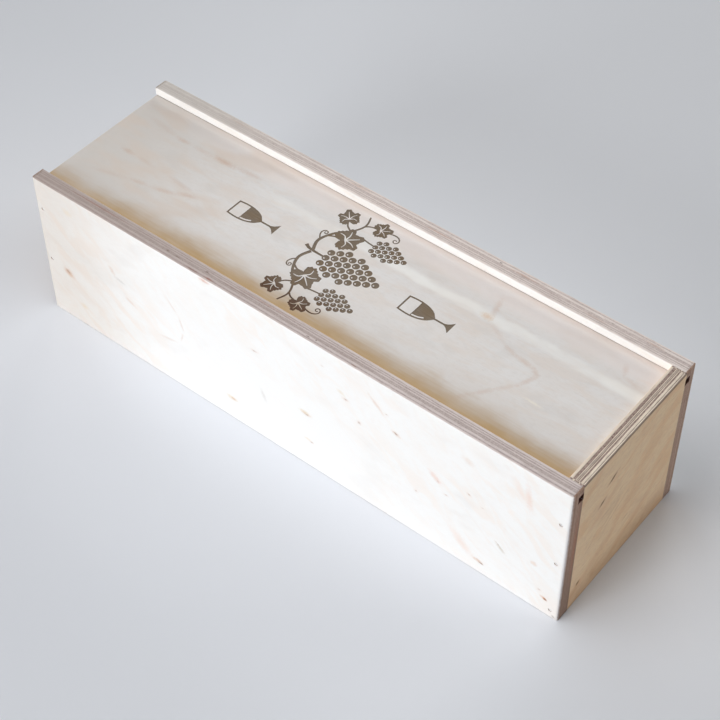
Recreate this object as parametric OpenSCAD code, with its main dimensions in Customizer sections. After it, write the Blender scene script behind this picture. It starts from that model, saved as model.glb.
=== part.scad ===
// Wine box of birch plywood with a sliding lid.
//
// Two long side panels run the full length. A full-height end panel closes one
// end, and a lower one leaves the other end open for the lid, which slides in
// grooves milled along both sides and stops against the full-height end. The
// bottom lies between the four walls, and brads hold the sides to the ends.
//
// Frame: +X towards the closed end, +Y to the back, +Z up.
// Origin: middle of the box, on the surface that it stands on.

/* [Box] */
// Overall length
box_l = 365; // [300:1:480]
// Overall width
box_w = 110; // [96:1:160]
// Overall height
box_h = 103; // [90:1:160]

/* [Plywood] */
// Thickness of the two long side panels
side_t = 9; // [8:0.5:15]
// Thickness of the two end panels
end_t = 9; // [8:0.5:15]
// Thickness of the bottom panel
bottom_t = 9; // [4:0.5:15]
// Thickness of the sliding lid
lid_t = 4; // [3:0.5:6]

/* [Lid groove] */
// Height of the lip above each groove
lip_h = 5; // [3:0.5:8]
// Depth of each groove
groove_d = 4; // [3:0.5:6]
// Play above the lid in its grooves
lid_play = 0.5; // [0.3:0.1:1]
// Gap between each long edge of the lid and the bottom of its groove
lid_side_gap = 0.4; // [0.3:0.1:1]
// Gap between the closed lid and the full-height end
lid_end_gap = 0.3; // [0.2:0.1:1]
// Gap between the lid and the low end below it
sill_gap = 0.3; // [0.2:0.1:1]

/* [Eased edges] */
// Radius of the upright outer edges
corner_r = 1.5; // [0.5:0.1:2.5]
// Radius of the rim and foot edges
arris_r = 0.6; // [0.3:0.1:1.2]
// Radius of the edges of the lid
lid_edge_r = 0.5; // [0.3:0.1:1]

/* [Brads] */
// Diameter of the shank
brad_d = 1.4; // [1:0.1:2]
// Length under the head
brad_l = 22; // [16:1:30]
// Diameter of the head
brad_head_d = 2.2; // [2.1:0.1:3]
// Thickness of the head
brad_head_t = 0.8; // [0.5:0.1:1.2]
// Length of the point
brad_point = 2.5; // [1:0.1:4]
// Depth to which the head is set below the face
brad_set = 0.4; // [0.2:0.1:1]
// Distance from the end of the box to each row of brads
brad_inset = 5; // [3:0.5:6]
// Height of the lowest of the three brads at the full-height end
stop_low = 6; // [5:1:15]
// Distance from the rim down to the highest of them
stop_drop = 25; // [20:1:35]
// Rise of the middle one above the middle of the row
stop_mid_rise = 4; // [-6:1:6]
// Height of the lower of the two brads at the low end
open_low = 42.5; // [20:0.5:50]
// Distance from the rim down to the upper one
open_drop = 21.5; // [18:0.5:30]

/* [Hidden] */

$fn = 32;
arc_steps = 5;
past = 1;

inner_w = box_w - 2 * side_t;
inner_l = box_l - 2 * end_t;
half_l = box_l / 2;
half_w = box_w / 2;

groove_h = lid_t + lid_play;
groove_z = box_h - lip_h - groove_h;
lid_l = box_l - end_t - lid_end_gap;
lid_w = inner_w + 2 * (groove_d - lid_side_gap);
sill_h = groove_z - sill_gap;

stop_high = box_h - stop_drop;
stop_rows = [stop_low, (stop_low + stop_high) / 2 + stop_mid_rise, stop_high];
open_rows = [open_low, box_h - open_drop];
brad_x = half_l - brad_inset;

face_wood = [0.90, 0.85, 0.76];
end_wood = [0.80, 0.70, 0.56];
lid_wood = [0.85, 0.80, 0.70];
brad_steel = [0.62, 0.61, 0.59];

// A quarter turn round centre c, from angle a on. No radius leaves the sharp corner.
function corner(c, r, a) =
    r == 0 ? [c] : [for (i = [0 : arc_steps]) c + r * [cos(a + 90 * i / arc_steps), sin(a + 90 * i / arc_steps)]];

// Outline of a board's section, w by h from the origin, with a radius for each
// corner: low left, low right, high right, high left.
function section(w, h, r) = concat(
    corner([r[0], r[0]], r[0], 180),
    corner([w - r[1], r[1]], r[1], 270),
    corner([w - r[2], h - r[2]], r[2], 0),
    corner([r[3], h - r[3]], r[3], 90));

// A board from the origin, with its edges eased where plan (seen from above),
// front (seen along Y) and end (seen along X) give their corners a radius.
module board(size, plan = [0, 0, 0, 0], front = [0, 0, 0, 0], end = [0, 0, 0, 0]) {
    intersection() {
        linear_extrude(size.z)
            polygon(section(size.x, size.y, plan));
        translate([0, size.y, 0])
            rotate([90, 0, 0])
                linear_extrude(size.y)
                    polygon(section(size.x, size.z, front));
        rotate([90, 0, 90])
            linear_extrude(size.x)
                polygon(section(size.y, size.z, end));
    }
}

// A brad along +Z, with the top of its head at the origin
module brad() {
    cylinder(h = brad_head_t, d = brad_head_d);
    cylinder(h = brad_head_t + brad_l - brad_point, d = brad_d);
    translate([0, 0, brad_head_t + brad_l - brad_point])
        cylinder(h = brad_point, d1 = brad_d, d2 = brad_d / 4);
}

// The hole that a brad makes, with the pit above its head
module brad_hole() {
    brad();
    translate([0, 0, -brad_set - past])
        cylinder(h = brad_set + past + brad_head_t, d = brad_head_d);
}

// Puts its children at each brad of a row in the front side, pointing inwards
module in_row(x, rows) {
    for (z = rows)
        translate([x, brad_set - half_w, z])
            rotate([-90, 0, 0])
                children();
}

// One long side panel, at the front
module side_panel() {
    difference() {
        translate([-half_l, -half_w, 0])
            board([box_l, side_t, box_h],
                plan = [corner_r, corner_r, 0, 0],
                front = [arris_r, arris_r, arris_r, arris_r],
                end = [arris_r, 0, arris_r, arris_r]);
        translate([-half_l - past, -inner_w / 2 - groove_d, groove_z])
            cube([box_l + 2 * past, groove_d + past, groove_h]);
        in_row(brad_x, stop_rows)
            brad_hole();
        in_row(-brad_x, open_rows)
            brad_hole();
    }
}

module front_side() {
    color(face_wood)
        side_panel();
}

module back_side() {
    color(face_wood)
        mirror([0, 1, 0])
            side_panel();
}

module stop_end() {
    color(end_wood)
        difference() {
            translate([half_l - end_t, -inner_w / 2, 0])
                board([end_t, inner_w, box_h], front = [0, arris_r, arris_r, arris_r]);
            for (side = [0, 1])
                mirror([0, side, 0])
                    in_row(brad_x, stop_rows)
                        brad_hole();
        }
}

module open_end() {
    color(end_wood)
        difference() {
            translate([-half_l, -inner_w / 2, 0])
                board([end_t, inner_w, sill_h], front = [arris_r, 0, arris_r, arris_r]);
            for (side = [0, 1])
                mirror([0, side, 0])
                    in_row(-brad_x, open_rows)
                        brad_hole();
        }
}

module bottom() {
    color(end_wood)
        translate([-inner_l / 2, -inner_w / 2, 0])
            board([inner_l, inner_w, bottom_t]);
}

module sliding_lid() {
    edge = [lid_edge_r, lid_edge_r, lid_edge_r, lid_edge_r];
    color(lid_wood)
        translate([-half_l, -lid_w / 2, groove_z])
            board([lid_l, lid_w, lid_t], plan = 2 * edge, front = edge, end = edge);
}

module front_stop_brads() {
    color(brad_steel)
        in_row(brad_x, stop_rows)
            brad();
}

module front_open_brads() {
    color(brad_steel)
        in_row(-brad_x, open_rows)
            brad();
}

module back_stop_brads() {
    mirror([0, 1, 0])
        front_stop_brads();
}

module back_open_brads() {
    mirror([0, 1, 0])
        front_open_brads();
}

front_side();
back_side();
stop_end();
open_end();
bottom();
sliding_lid();
front_stop_brads();
front_open_brads();
back_stop_brads();
back_open_brads();
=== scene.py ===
"""Looks of the plywood wine box: boards with real plies, a burnt decoration on the lid, and a studio.

Lengths are in metres in the frame's own axes: +X towards the closed end, +Y to the back, +Z up.
Values named in millimetres are turned into metres by MM where they are used.
"""

import math
from collections import namedtuple
from itertools import accumulate

import bmesh
import bpy
import numpy as np
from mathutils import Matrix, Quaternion, Vector, noise
from mathutils.geometry import delaunay_2d_cdt

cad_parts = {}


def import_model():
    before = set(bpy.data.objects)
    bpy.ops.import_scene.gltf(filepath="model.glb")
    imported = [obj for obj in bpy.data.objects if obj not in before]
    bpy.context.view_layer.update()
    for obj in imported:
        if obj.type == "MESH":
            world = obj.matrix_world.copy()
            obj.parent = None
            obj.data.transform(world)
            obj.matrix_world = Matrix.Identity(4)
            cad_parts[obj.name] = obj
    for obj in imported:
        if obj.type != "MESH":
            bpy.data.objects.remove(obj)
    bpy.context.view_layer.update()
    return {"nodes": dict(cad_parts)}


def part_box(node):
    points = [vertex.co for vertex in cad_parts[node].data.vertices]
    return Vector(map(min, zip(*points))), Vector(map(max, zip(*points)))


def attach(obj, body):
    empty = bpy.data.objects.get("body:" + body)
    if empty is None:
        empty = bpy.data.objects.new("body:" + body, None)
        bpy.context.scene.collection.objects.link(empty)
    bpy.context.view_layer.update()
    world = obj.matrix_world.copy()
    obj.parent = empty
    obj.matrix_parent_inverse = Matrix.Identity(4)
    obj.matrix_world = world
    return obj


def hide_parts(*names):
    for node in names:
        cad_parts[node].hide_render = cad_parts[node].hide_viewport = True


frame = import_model()

MM = 0.001
X, Y, Z = 0, 1, 2

# ---- sizes taken from the frame ----

SIDE_LO, SIDE_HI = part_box("front_side")
LID_LO, LID_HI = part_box("sliding_lid")

FAR_X = SIDE_LO.x
NEAR_X = SIDE_HI.x
RIM_Z = SIDE_HI.z
WALL = SIDE_HI.y - SIDE_LO.y
HALF_W = -SIDE_LO.y
GROOVE_DEPTH = 4.0 * MM
GROOVE_PLAY = 0.5 * MM

# ---- plywood construction ----

# Veneers from the outer face inwards: thickness in millimetres, and whether their grain runs
# with that of the face. The layers of the ends are those that the closed end shows on top.
WALL_VENEERS = (
    (1.15, True), (0.60, False), (1.45, True), (0.70, False), (0.20, True), (0.80, False),
    (0.70, True), (0.70, False), (0.65, True), (0.45, False), (1.60, True),
)
END_VENEERS = (
    (1.25, True), (0.20, False), (1.45, True), (0.70, False), (0.65, True), (0.35, False),
    (0.40, True), (0.30, False), (0.60, True), (1.40, False), (1.70, True),
)
LID_VENEERS = ((1.15, True), (1.70, False), (1.15, True))

CORNER_R = 1.5 * MM
ARRIS_R = 0.6 * MM
LID_EDGE_R = 0.5 * MM
ARC_STEPS = 5
CROSS_PLY_INSET = 0.02 * MM
GLUE_LINE = 0.09 * MM
GLUE_INSET = 0.035 * MM
EDGE_WAVE = 0.03 * MM
WAVE_LENGTH = 9 * MM
WAVE_HEIGHT = 0.7 * MM
EDGE_STEP = 2.5 * MM


def joints(veneers):
    """Distances of the glue lines from the outer face, in metres."""
    return list(accumulate(thickness * MM for thickness, _ in veneers[:-1]))


def thickness_of(veneers):
    return sum(thickness for thickness, _ in veneers) * MM


def arc_profile(radius):
    """Insets of a rounded edge, as (distance from the face, inset) pairs."""
    angles = [0.5 * math.pi * k / ARC_STEPS for k in range(ARC_STEPS + 1)]
    return [(radius * (1 - math.cos(a)), radius * (1 - math.sin(a))) for a in angles]


def ply_profile(veneers):
    """Insets of the sawn edge of plywood, ply by ply: cross plies lie back, glue lines more so."""
    insets = [0.0 if with_grain else CROSS_PLY_INSET for _, with_grain in veneers]
    pairs = [(0.0, insets[0])]
    for k, t in enumerate(joints(veneers)):
        pairs += [(t - GLUE_LINE, insets[k]), (t, GLUE_INSET), (t + GLUE_LINE, insets[k + 1])]
    return pairs + [(thickness_of(veneers), insets[-1])]


def sampled(pairs, t):
    """The value of a list of (t, value) pairs at t."""
    pairs = sorted(pairs)
    return float(np.interp(t, [p[0] for p in pairs], [p[1] for p in pairs]))


# A board between two corners: the axis of its thickness, its sides (left, right, low, high in its
# plane), its veneers, whether its outer face is the low one, and a seed for its saw marks
Board = namedtuple("Board", "lo hi axis sides veneers outer_low seed")


class Side:
    """One of a board's four edges: easing radius at its low and high face, and whether plies show."""

    def __init__(self, low_r=0.0, high_r=0.0, plies=False, chips=()):
        self.low_r, self.high_r, self.plies, self.chips = low_r, high_r, plies, chips

    def arcs(self, thickness):
        """Insets of its rounded edges across the board, as (thickness, inset) pairs."""
        low = arc_profile(self.low_r) if self.low_r else []
        high = arc_profile(self.high_r) if self.high_r else []
        return low + [(thickness - t, inset) for t, inset in high]

    def inset(self, board, t, along):
        """How far easing, plies, saw marks and torn places lie back at t and a distance along."""
        thickness = thickness_of(board.veneers)
        arcs = self.arcs(thickness)
        eased = sampled(arcs, t) if arcs else 0.0
        if not self.plies:
            return eased
        depth = t if board.outer_low else thickness - t
        wave = noise.noise(Vector((along / WAVE_LENGTH, t / WAVE_HEIGHT, board.seed))) + 1.0
        torn = sum(chip.depth_at(along, depth) for chip in self.chips)
        return eased + (sampled(ply_profile(board.veneers), depth) + EDGE_WAVE * wave + torn)


class Chip:
    """A splinter missing from the outer veneer at the edge: its place, length and depth."""

    def __init__(self, along, length, depth, veneer=1.3 * MM):
        self.along, self.length, self.depth, self.veneer = along, length, depth, veneer

    def depth_at(self, along, t):
        across = max(0.0, 1.0 - t / self.veneer)
        reach = (along - self.along) / (0.5 * self.length)
        ragged = 0.75 + 0.35 * noise.noise(Vector((along / (1.1 * MM), 3.7, 0.0)))
        return self.depth * ragged * across * max(0.0, 1.0 - reach * reach)


def levels(board):
    """The thicknesses at which a board's outline is drawn, so that every ply and easing shows."""
    thickness = thickness_of(board.veneers)
    found = {0.0, thickness}
    for side in board.sides:
        found.update(t for t, _ in side.arcs(thickness))
        if side.plies:
            found.update(t if board.outer_low else thickness - t for t, _ in ply_profile(board.veneers))
    return merged(sorted(found), 0.02 * MM)


def merged(values, least):
    """The sorted values without those that lie closer than least to the one before."""
    kept = [values[0]]
    for v in values[1:-1]:
        if v - kept[-1] > least and values[-1] - v > least:
            kept.append(v)
    return kept + [values[-1]]


def outline(board, t):
    """The board's outline in its plane at thickness t, as points in order round it."""
    left, right, low, high = board.sides
    lo = [c for k, c in enumerate(board.lo) if k != board.axis]
    hi = [c for k, c in enumerate(board.hi) if k != board.axis]
    steps_u = max(1, round((hi[0] - lo[0]) / EDGE_STEP))
    steps_v = max(1, round((hi[1] - lo[1]) / EDGE_STEP))

    def spaced(start, end, steps):
        return [start + (end - start) * k / steps for k in range(steps)]

    u0, u1 = lo[0] + left.inset(board, t, lo[1]), hi[0] - right.inset(board, t, hi[1])
    v0, v1 = lo[1] + low.inset(board, t, hi[0]), hi[1] - high.inset(board, t, lo[0])
    points = [(u, lo[1] + low.inset(board, t, u)) for u in spaced(u0, u1, steps_u)]
    points += [(hi[0] - right.inset(board, t, v), v) for v in spaced(v0, v1, steps_v)]
    points += [(u, hi[1] - high.inset(board, t, u)) for u in spaced(u1, u0, steps_u)]
    return points + [(lo[0] + left.inset(board, t, v), v) for v in spaced(v1, v0, steps_v)]


def placed(axis, u, v, t):
    """A point given in a board's plane and thickness, in the frame's axes."""
    spot = [u, v]
    spot.insert(axis, t)
    return tuple(spot)


def bands(rings):
    """Faces between each ring of vertices and the next."""
    faces = []
    for below, above in zip(rings, rings[1:]):
        for k in range(len(below)):
            n = (k + 1) % len(below)
            faces.append([below[k], below[n], above[n], above[k]])
    return faces


def board_shell(board):
    """Vertices and faces of a board, open at its two wide faces.

    Returns the vertices, the edge faces, and the vertex rings of the low and high wide face."""
    rings, verts = [], []
    for t in levels(board):
        ring = outline(board, t)
        rings.append(list(range(len(verts), len(verts) + len(ring))))
        verts += [placed(board.axis, u, v, board.lo[board.axis] + t) for u, v in ring]
    return verts, bands(rings), rings[0], rings[-1]


def linked(name, data):
    """A new object of the scene."""
    obj = bpy.data.objects.new(name, data)
    bpy.context.scene.collection.objects.link(obj)
    return obj


def mesh_object(name, verts, faces, smooth=(), slots=None):
    """A mesh object at the origin. The faces whose numbers are in smooth are shaded smooth."""
    mesh = bpy.data.meshes.new(name)
    mesh.from_pydata(verts, [], faces)
    smooth = set(smooth)
    mesh.polygons.foreach_set("use_smooth", [k in smooth for k in range(len(faces))])
    if slots:
        mesh.polygons.foreach_set("material_index", slots)
    mesh.update()
    outward(mesh)
    return linked(name, mesh)


def outward(mesh):
    """Turns a closed mesh's faces outwards."""
    bm = bmesh.new()
    bm.from_mesh(mesh)
    bmesh.ops.recalc_face_normals(bm, faces=bm.faces)
    bm.to_mesh(mesh)
    bm.free()


def whole_board(name, board):
    """A wall panel with plain wide faces."""
    verts, faces, low_ring, high_ring = board_shell(board)
    return mesh_object(name, verts, faces + [low_ring, high_ring], range(len(faces)))


def cut(obj, cutter):
    """Takes the cutter's closed shape out of the object, and removes the cutter."""
    modifier = obj.modifiers.new("cut", "BOOLEAN")
    modifier.operation = "DIFFERENCE"
    modifier.solver = "EXACT"
    modifier.object = cutter
    bpy.context.view_layer.update()
    done = bpy.data.meshes.new_from_object(obj.evaluated_get(bpy.context.evaluated_depsgraph_get()))
    obj.modifiers.clear()
    obj.data = done
    bpy.data.objects.remove(cutter)


def block(lo, hi):
    """A closed block between two corners, for cutting."""
    verts = [(x, y, z) for x in (lo[0], hi[0]) for y in (lo[1], hi[1]) for z in (lo[2], hi[2])]
    faces = [[0, 1, 3, 2], [4, 6, 7, 5], [0, 4, 5, 1], [2, 3, 7, 6], [0, 2, 6, 4], [1, 5, 7, 3]]
    return mesh_object("cutter", verts, faces)


def circle(centre, radius, sides=20):
    turn = 2 * math.pi / sides
    around = [k * turn for k in range(sides)]
    return [(centre[0] + radius * math.cos(a), centre[1] + radius * math.sin(a)) for a in around]


def drum(centre, radius, y0, y1, sides=28):
    """A closed round cutter along Y."""
    verts = [(x, y, z) for y in (y0, y1) for x, z in circle(centre, radius, sides)]
    rings = [list(range(sides)), list(range(sides, 2 * sides))]
    return mesh_object("cutter", verts, bands(rings) + rings)


# ---- the boards ----

HEAD_BELOW = 0.4 * MM
HEAD_THICKNESS = 0.8 * MM
OVERCUT = 1.0 * MM
BRAD_HEIGHT = 4 * MM

FRONT_BRADS = ("front_stop_brads", "front_open_brads")
BACK_BRADS = ("back_stop_brads", "back_open_brads")

FRONT_CHIPS = (
    Chip(FAR_X + 132 * MM, 9 * MM, 0.75 * MM),
    Chip(FAR_X + 232 * MM, 6 * MM, 0.60 * MM),
    Chip(FAR_X + 76 * MM, 4 * MM, 0.30 * MM),
    Chip(FAR_X + 302 * MM, 3 * MM, 0.30 * MM),
)


def brad_heads(obj):
    """The centres (x, z) and the radius of a column of brads, seen along Y."""
    points = np.array([v.co for v in obj.data.vertices])
    groups = []
    for z in sorted(points[:, Z]):
        if not groups or z - groups[-1][0] >= BRAD_HEIGHT:
            groups.append([])
        groups[-1].append(z)
    x0, x1 = points[:, X].min(), points[:, X].max()
    return [(0.5 * (x0 + x1), 0.5 * (group[0] + group[-1])) for group in groups], 0.5 * (x1 - x0)


def brad_pits(panel, nodes, outer_y, inwards):
    """Sinks the pits of the brad heads into a side panel."""
    for node in nodes:
        centres, radius = brad_heads(frame["nodes"][node])
        for centre in centres:
            ys = sorted((outer_y - inwards * OVERCUT, outer_y + inwards * (HEAD_BELOW + HEAD_THICKNESS)))
            cut(panel, drum(centre, radius, *ys))


def outer_eased(radius, outer_low):
    """A side whose plies show, eased along the board's outer face alone."""
    return Side(radius, 0.0, True) if outer_low else Side(0.0, radius, True)


def side_panel(name, node, inwards, chips, brads, seed):
    """A long side panel: eased board, lid groove, and the pits of its brads."""
    lo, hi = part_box(node)
    outer_low = inwards > 0
    ends = outer_eased(CORNER_R, outer_low)
    foot = outer_eased(ARRIS_R, outer_low)
    rim = Side(ARRIS_R, ARRIS_R, True, chips)
    panel = whole_board(name, Board(lo, hi, Y, (ends, ends, foot, rim), WALL_VENEERS, outer_low, seed))
    outer_y, inner_y = (lo.y, hi.y) if outer_low else (hi.y, lo.y)
    ys = sorted((inner_y - inwards * GROOVE_DEPTH, inner_y + inwards * OVERCUT))
    cut(panel, block((lo.x - OVERCUT, ys[0], LID_LO.z), (hi.x + OVERCUT, ys[1], LID_HI.z + GROOVE_PLAY)))
    brad_pits(panel, brads, outer_y, inwards)
    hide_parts(node)
    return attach(panel, "box")


def end_panel(name, node, outer_low, seed):
    """An end panel between the sides: only its top and foot show their plies."""
    sides = (Side(), Side(), outer_eased(ARRIS_R, outer_low), Side(ARRIS_R, ARRIS_R, True))
    panel = whole_board(name, Board(*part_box(node), X, sides, END_VENEERS, outer_low, seed))
    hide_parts(node)
    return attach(panel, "box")


# ---- the lid's burnt decoration ----
# Drawn flat in millimetres: u to the right and v up as it is read, with u along +Y and v along -X.

ART_DEPTH = 0.25 * MM
ART_CENTRE_X = -6.8 * MM
ART_CENTRE_Y = 1.6 * MM
GLASS_OFFSET = 59.6
VINE_OFFSET = -2


def stroke(points, start_width, end_width):
    """The outline of a line that tapers evenly from one width to the other, with round ends."""
    n = len(points)
    left, right = [], []
    for k, (u, v) in enumerate(points):
        before, after = points[max(0, k - 1)], points[min(n - 1, k + 1)]
        du, dv = after[0] - before[0], after[1] - before[1]
        half = 0.5 * (start_width + (end_width - start_width) * k / (n - 1)) / math.hypot(du, dv)
        left.append((u - dv * half, v + du * half))
        right.append((u + dv * half, v - du * half))
    return left + right[::-1]


def curve(points, steps=10):
    """A smooth line through a few points (Catmull-Rom)."""
    line = []
    for k in range(len(points) - 1):
        a, b = points[max(0, k - 1)], points[k]
        c, d = points[k + 1], points[min(len(points) - 1, k + 2)]
        for s in range(steps):
            t = s / steps
            line.append(tuple(
                0.5 * (2 * b[i] + (c[i] - a[i]) * t + (2 * a[i] - 5 * b[i] + 4 * c[i] - d[i]) * t * t
                       + (3 * b[i] - a[i] - 3 * c[i] + d[i]) * t ** 3) for i in (0, 1)))
    return line + [points[-1]]


def tendril(start, heading, length, turn, curl, steps=34):
    """A line from start that bends by turn and curl, in degrees: evenly first, then tighter."""
    u, v = start
    line = [start]
    for k in range(steps):
        share = (k + 0.5) / steps
        a = math.radians(heading + turn * share + curl * share ** 3)
        u += length / steps * math.cos(a)
        v += length / steps * math.sin(a)
        line.append((u, v))
    return line


def polar(reach, angle):
    """The point at a reach and a direction in degrees."""
    return (reach * math.cos(math.radians(angle)), reach * math.sin(math.radians(angle)))


def turned(points, angle, centre):
    """Points drawn round 0, turned by an angle in degrees and moved to a centre."""
    c, s = math.cos(math.radians(angle)), math.sin(math.radians(angle))
    return [(centre[0] + c * u - s * v, centre[1] + s * u + c * v) for u, v in points]


def mirrored(shapes):
    """The shapes, mirrored left to right."""
    return [(burnt, [(-u, v) for u, v in points][::-1]) for burnt, points in shapes]


LEAF_LOBES = ((0, 1), (55, 0.9), (-55, 0.9), (112, 0.74), (-112, 0.74))


def leaf_reach(a):
    """How far a vine leaf's edge is from its stalk's end at a direction in degrees."""
    reach = max(size * (1 - 0.33 * min(1, abs(a - at) / 27) ** 1.2) for at, size in LEAF_LOBES)
    teeth = 1 + 0.05 * (1 - abs((a + 180) / 9 % 2 - 1) * 2)
    notch = 1 - 0.62 * math.exp(-((180 - abs(a)) / 24) ** 2)
    return reach * teeth * notch


def leaf(centre, angle, size):
    """A vine leaf whose tip points along angle, with bare veins."""
    edge = [polar(size * leaf_reach(a), a) for a in range(-180, 180, 3)]
    shapes = [(True, turned(edge, angle, centre))]
    for at, reach in LEAF_LOBES:
        tip = 0.74 * size * reach
        vein = curve([(0, 0), polar(0.55 * tip, 0.8 * at), polar(tip, at)], 5)
        shapes.append((False, turned(stroke(vein, 0.085 * size, 0.03 * size), angle, centre)))
    return shapes


def grapes(top, rows, size):
    """A hanging bunch: round berries in rows, a hair apart, each with a bare glint."""
    shapes = []
    for row, count in enumerate(rows):
        for k in range(count):
            spot = (top[0] + (k - 0.5 * (count - 1)) * size, top[1] - row * 0.87 * size)
            shapes.append((True, circle(spot, 0.45 * size)))
            glint = (spot[0] - 0.14 * size, spot[1] + 0.14 * size)
            shapes.append((False, circle(glint, 0.1 * size, 8)))
    return shapes


def line(points, start_width, end_width):
    """A burnt line through a few points, which tapers from one width to the other."""
    return [(True, stroke(curve(points), start_width, end_width))]


def vine():
    """A garland: a bunch of grapes in the middle and a leafy branch to each side."""
    bunch = grapes((0, 11), (3, 4, 5, 4, 5, 4, 3, 2, 1), 4.9)
    stalk = line([(2, 26), (0.4, 22), (0, 12.6)], 2.2, 1.2)
    side = line([(0.8, 20.5), (8.5, 23), (17.5, 19.5), (25.5, 12.5), (33, 9.5), (40, 11.5)], 2, 0.9)
    side += leaf((17.2, 11.5), -50, 11)
    side += line([(14, 21.4), (16, 17.5), (17.2, 11.5)], 1.2, 0.9)
    side += leaf((31.6, 20), 40, 8.2)
    side += line([(24.5, 13.4), (27, 17.5), (31.6, 20)], 1.1, 0.8)
    side += leaf((35, 1), -62, 7.6)
    side += line([(32, 9.7), (34.2, 6.5), (35, 1)], 1.1, 0.8)
    side += grapes((23, -5), (3, 4, 3, 4, 3, 2, 1), 3.7)
    side += line([(24.2, 5.5), (23.4, 0.5), (23, -4.2)], 1, 0.9)
    side.append((True, stroke(tendril((9.5, 22.6), 50, 15, -60, -420), 0.9, 0.6)))
    side.append((True, stroke(tendril((36, -4.5), -70, 17, -70, -380), 0.9, 0.6)))
    return bunch + stalk + side + mirrored(side)


def wine_glass():
    """A plain wine glass with wine in it, seen from the side, with its rim towards +v."""
    length, rim, belly, belly_at, bowl_end = 31.4, 5.9, 6.4, 6.5, 20
    stem, ankle, foot, foot_at = 0.55, 1.1, 4.25, 28
    wall, wine_at = 1, 8.4

    def half_width(a):
        if a < belly_at:
            return rim + (belly - rim) * math.sin(0.5 * math.pi * a / belly_at)
        if a < bowl_end:
            return max(stem, belly * math.sqrt(1 - ((a - belly_at) / (bowl_end - belly_at)) ** 2))
        if a < foot_at:
            return stem + (ankle - stem) * max(0, 1 - (foot_at - a) / 1.2)
        return ankle + (foot - ankle) * ((a - foot_at) / (length - foot_at)) ** 1.3

    def profile(start, end, inset, steps):
        rows = [start + (end - start) * (1 - math.cos(math.pi * k / steps)) / 2 for k in range(steps + 1)]
        right = [(half_width(a) - inset, -a) for a in rows]
        return right + [(-u, v) for u, v in right][::-1]

    def centred(points):
        return [(u, v + 0.5 * length) for u, v in points]

    shine = curve([(-4.75, -8.9), (-4.2, -12.6), (-2.9, -15.6)])
    return [
        (True, centred(profile(0, length, 0, 40))),
        (False, centred(profile(wall, wine_at, wall, 8))),
        (False, centred(stroke(shine, 1, 0.9))),
    ]


def on_lid(shapes, shift_v):
    """Shapes of the decoration in the frame's X and Y, in metres."""
    found = []
    for burnt, points in shapes:
        spots = [(ART_CENTRE_X - (v + shift_v) * MM, ART_CENTRE_Y + u * MM) for u, v in points]
        found.append((burnt, anticlockwise(spots)))
    return found


def decoration():
    """Everything burnt into the lid: the garland between two glasses."""
    glass = wine_glass()
    return on_lid(vine(), VINE_OFFSET) + on_lid(glass, GLASS_OFFSET) + on_lid(glass, -GLASS_OFFSET)


def anticlockwise(points):
    """The points of a closed line, put in anticlockwise order."""
    twice_area = sum(a[0] * b[1] - b[0] * a[1] for a, b in zip(points, points[1:] + points[:1]))
    return points if twice_area > 0 else points[::-1]


def engraved_face(border, shapes, top, depth):
    """A flat face inside a border, with shapes sunk into it.

    Returns vertices, faces and each face's material slot. The border's vertices come first."""
    coords = [Vector(p) for p in border]
    inputs = [list(range(len(border)))]
    for _, points in shapes:
        inputs.append(list(range(len(coords), len(coords) + len(points))))
        coords += [Vector(p) for p in points]
    edges = [(ring[k - 1], ring[k]) for ring in inputs for k in range(len(ring))]
    flat, _, cells, origin, _, owners = delaunay_2d_cdt(coords, edges, inputs, 1, 1e-7, True)
    burnt = []
    for owner in owners:
        inside = [shapes[k - 1][0] for k in owner if k > 0]
        burnt.append(bool(inside) and all(inside))
    keys, verts, faces, slots = {}, [], [], []

    def vertex(k, sunk):
        if (k, sunk) not in keys:
            keys[k, sunk] = len(verts)
            verts.append((flat[k].x, flat[k].y, top - depth if sunk else top))
        return keys[k, sunk]

    for k in range(len(border)):
        vertex(next(i for i, source in enumerate(origin) if k in source), False)
    sides = {}
    for cell, sunk in zip(cells, burnt):
        faces.append([vertex(k, sunk) for k in cell])
        slots.append(1 if sunk else 0)
        for a, b in zip(cell, list(cell[1:]) + [cell[0]]):
            sides.setdefault(frozenset((a, b)), []).append((a, b, sunk))
    for pair in sides.values():
        if len(pair) == 2 and pair[0][2] != pair[1][2]:
            a, b, _ = pair[0] if pair[0][2] else pair[1]
            faces.append([vertex(b, True), vertex(a, True), vertex(a, False), vertex(b, False)])
            slots.append(1)
    return verts, faces, slots


def lid_board():
    """The sliding lid: thin plywood with the decoration burnt a little way into its top."""
    sides = (Side(LID_EDGE_R, LID_EDGE_R, True),) * 4
    verts, faces, low_ring, high_ring = board_shell(Board(LID_LO, LID_HI, Z, sides, LID_VENEERS, False, 5))
    smooth = range(len(faces))
    faces.append(low_ring)
    slots = [0] * len(faces)
    border = [verts[k][:2] for k in high_ring]
    more, top_faces, top_slots = engraved_face(border, decoration(), LID_HI.z, ART_DEPTH)
    number = {k: high_ring[k] for k in range(len(border))}
    for k in range(len(border), len(more)):
        number[k] = len(verts)
        verts.append(more[k])
    faces += [[number[k] for k in face] for face in top_faces]
    lid = mesh_object("lid_board", verts, faces, smooth, slots + top_slots)
    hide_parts("sliding_lid")
    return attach(lid, "lid")


# ---- materials ----

class Value:
    """One output of a node, which takes +, - and * like a number."""

    def __init__(self, graph, socket):
        self.graph, self.socket = graph, socket

    def __add__(self, other):
        return self.graph.math("ADD", self, other)

    def __sub__(self, other):
        return self.graph.math("SUBTRACT", self, other)

    def __rsub__(self, other):
        return self.graph.math("SUBTRACT", other, self)

    def __mul__(self, other):
        return self.graph.math("MULTIPLY", self, other)


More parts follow.
